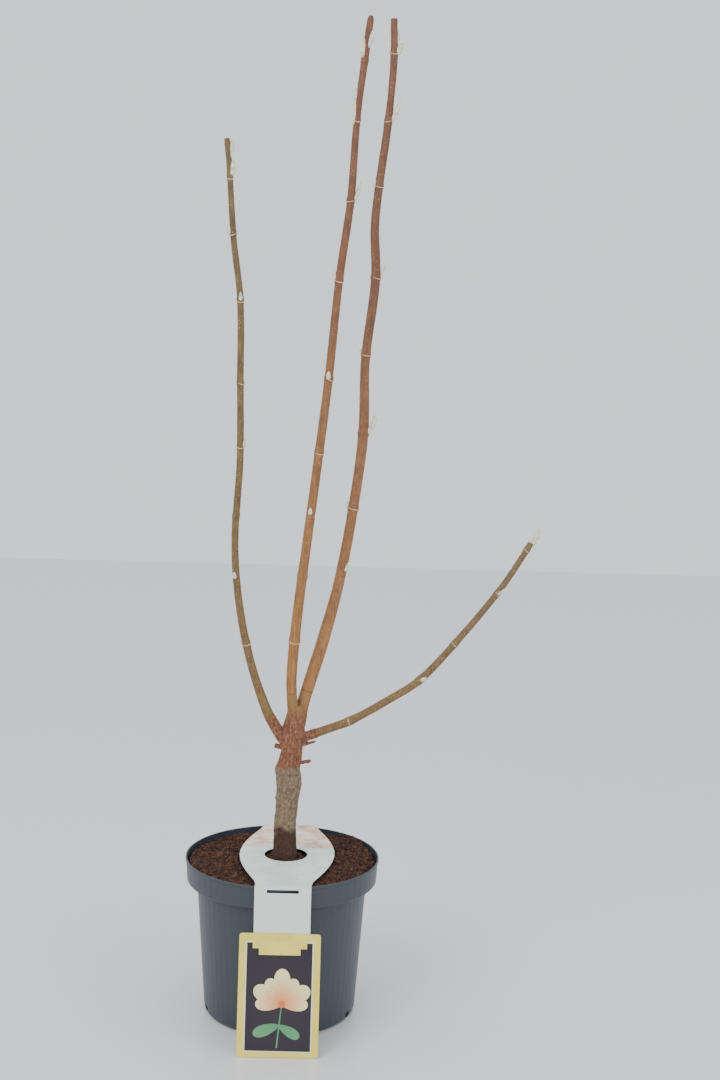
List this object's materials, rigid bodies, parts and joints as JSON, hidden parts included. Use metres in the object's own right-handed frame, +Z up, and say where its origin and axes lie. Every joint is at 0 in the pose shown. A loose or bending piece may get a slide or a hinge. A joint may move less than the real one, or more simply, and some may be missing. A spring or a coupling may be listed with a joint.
{
  "type": "potted magnolia shrub",
  "caption": "Bare-stemmed magnolia shrub with a short grafted trunk, long budded stems, nursery pot, peat and plain paper labels.",
  "frame": {"origin": "centre of the pot's flat underside, on the ground", "axes": "+Z up along the plant; +X to the right and +Y away, as seen from the front where the labels hang"},
  "size_m": [0.4669, 0.2873, 1.3052],
  "materials": {
    "pot_plastic": "anthracite moulded plastic with a faint sheen",
    "peat": "dark red-brown crumbly peat",
    "trunk_bark": "rough flaky red-brown bark over grey-brown rootstock",
    "bough_bark": "smooth golden-brown bark with pale lenticels",
    "twig_bark": "smooth red-brown to olive twig bark with silvery buds",
    "label_paper": "satin printed card, pale mint",
    "card_paper": "satin printed card, yellow border"
  },
  "bodies": {
    "root": {"pot": "pot_plastic", "soil": "peat", "trunk": "trunk_bark", "bough_left": "bough_bark", "bough_inner_left": "bough_bark", "bough_inner_right": "bough_bark", "bough_low_right": "bough_bark", "twig_left": "twig_bark", "twig_inner_left": "twig_bark", "twig_inner_right": "twig_bark", "twig_low_right": "twig_bark", "collar_label": "label_paper", "picture_card": "card_paper"}
  },
  "joints": []
}
